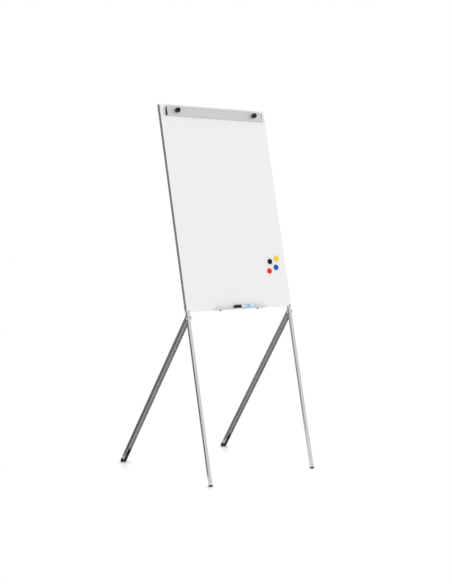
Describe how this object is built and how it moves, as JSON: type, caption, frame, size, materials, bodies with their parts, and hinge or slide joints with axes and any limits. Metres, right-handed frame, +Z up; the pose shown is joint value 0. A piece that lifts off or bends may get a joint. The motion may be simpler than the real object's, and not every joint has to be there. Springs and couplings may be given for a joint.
{
  "type": "flipchart easel",
  "caption": "Standing flipchart easel: leaning magnetic whiteboard with a screw-down pad clamp, pen tray, marker and magnets, on front legs with folding rear legs.",
  "frame": {"origin": "middle of the footprint, on the floor", "axes": "+X to the right seen from the front, +Y from the writing face to the rear feet, +Z up"},
  "size_m": [0.7014, 0.7592, 1.853],
  "materials": {
    "white_enamel": "glossy white enamel",
    "chipboard": "raw pressed board",
    "grey_back": "satin grey coating",
    "anodised": "satin silver anodised",
    "silver_paint": "satin silver powder coat",
    "grey_plastic": "matt light grey",
    "black_plastic": "satin black",
    "black_rubber": "matt black",
    "black_screw": "black zinc",
    "plated": "bright zinc plating",
    "nylon": "natural nylon",
    "brass": "turned brass",
    "ferrite": "matt ferrite",
    "magnet_black": "glossy black",
    "magnet_yellow": "glossy yellow",
    "magnet_blue": "glossy blue",
    "magnet_red": "glossy red",
    "marker_body": "satin off-white",
    "marker_plug": "matt grey",
    "felt": "ink-soaked felt"
  },
  "bodies": {
    "frame": {"face_sheet": "white_enamel", "panel_core": "chipboard", "back_sheet": "grey_back", "top_rail": "anodised", "bottom_rail": "anodised", "pen_tray": "anodised", "side_rail_left": "anodised", "joiner_top_left": "grey_plastic", "joiner_bottom_left": "grey_plastic", "top_cap_left": "grey_plastic", "leg_collar_left": "grey_plastic", "front_leg_left": "silver_paint", "front_foot_left": "black_rubber", "leg_screw_left_1": "black_screw", "leg_screw_left_2": "black_screw", "tray_screw_left": "black_screw", "hinge_bolt_left": "plated", "hinge_nut_left": "plated", "clamp_stud_left": "plated", "hinge_spacer_left_outer": "nylon", "hinge_spacer_left_inner": "nylon", "side_rail_right": "anodised", "joiner_top_right": "grey_plastic", "joiner_bottom_right": "grey_plastic", "top_cap_right": "grey_plastic", "leg_collar_right": "grey_plastic", "front_leg_right": "silver_paint", "front_foot_right": "black_rubber", "leg_screw_right_1": "black_screw", "leg_screw_right_2": "black_screw", "tray_screw_right": "black_screw", "hinge_bolt_right": "plated", "hinge_nut_right": "plated", "clamp_stud_right": "plated", "hinge_spacer_right_outer": "nylon", "hinge_spacer_right_inner": "nylon"},
    "clamp": {"clamp_bar": "anodised", "clamp_end_cap_left": "black_plastic", "clamp_end_cap_right": "black_plastic"},
    "knob_left": {"knob_left": "black_plastic", "knob_insert_left": "brass"},
    "knob_right": {"knob_right": "black_plastic", "knob_insert_right": "brass"},
    "rear_leg_left": {"rear_leg_left": "silver_paint", "rear_foot_left": "black_rubber"},
    "rear_leg_right": {"rear_leg_right": "silver_paint", "rear_foot_right": "black_rubber"},
    "marker": {"marker_barrel": "marker_body", "marker_nib": "felt", "marker_plug": "marker_plug"},
    "marker_cap": {"marker_cap": "black_plastic"},
    "magnet_black": {"magnet_black": "magnet_black", "magnet_black_core": "ferrite"},
    "magnet_yellow": {"magnet_yellow": "magnet_yellow", "magnet_yellow_core": "ferrite"},
    "magnet_blue": {"magnet_blue": "magnet_blue", "magnet_blue_core": "ferrite"},
    "magnet_red": {"magnet_red": "magnet_red", "magnet_red_core": "ferrite"}
  },
  "joints": [
    {"name": "rear_leg_left_fold", "type": "hinge", "parent": "frame", "child": "rear_leg_left", "pos_m": [-0.331, -0.19516, 0.79747], "axis": [-0.9999, -0.0102, 0.0023], "range_deg": [0, 47.9]},
    {"name": "rear_leg_right_fold", "type": "hinge", "parent": "frame", "child": "rear_leg_right", "pos_m": [0.331, -0.19516, 0.79747], "axis": [-0.9999, 0.0102, -0.0023], "range_deg": [0, 47.9]},
    {"name": "clamp_open", "type": "slide", "parent": "frame", "child": "clamp", "axis": [0, -0.9763, 0.2164], "range_m": [0, 0.005]},
    {"name": "knob_left_turn", "type": "hinge", "parent": "clamp", "child": "knob_left", "pos_m": [-0.249, -0.00307, 1.82474], "axis": [0, -0.9763, 0.2164], "range_deg": [0, 1800]},
    {"name": "knob_right_turn", "type": "hinge", "parent": "clamp", "child": "knob_right", "pos_m": [0.249, -0.00307, 1.82474], "axis": [0, -0.9763, 0.2164], "range_deg": [0, 1800]},
    {"name": "magnet_black_pull", "type": "slide", "parent": "frame", "child": "magnet_black", "axis": [0, -0.9763, 0.2164], "range_m": [0, 0.1]},
    {"name": "magnet_yellow_pull", "type": "slide", "parent": "frame", "child": "magnet_yellow", "axis": [0, -0.9763, 0.2164], "range_m": [0, 0.1]},
    {"name": "magnet_blue_pull", "type": "slide", "parent": "frame", "child": "magnet_blue", "axis": [0, -0.9763, 0.2164], "range_m": [0, 0.1]},
    {"name": "magnet_red_pull", "type": "slide", "parent": "frame", "child": "magnet_red", "axis": [0, -0.9763, 0.2164], "range_m": [0, 0.1]},
    {"name": "marker_lift", "type": "slide", "parent": "frame", "child": "marker", "axis": [0, 0, 1], "range_m": [0, 0.15]},
    {"name": "marker_cap_pull", "type": "slide", "parent": "marker", "child": "marker_cap", "axis": [-1, 0, 0], "range_m": [0, 0.06]}
  ],
  "couplings": [
    {"joint": "knob_left_turn", "follows": "clamp_open", "rad_per_m": 6280},
    {"joint": "knob_right_turn", "follows": "clamp_open", "rad_per_m": 6280}
  ]
}
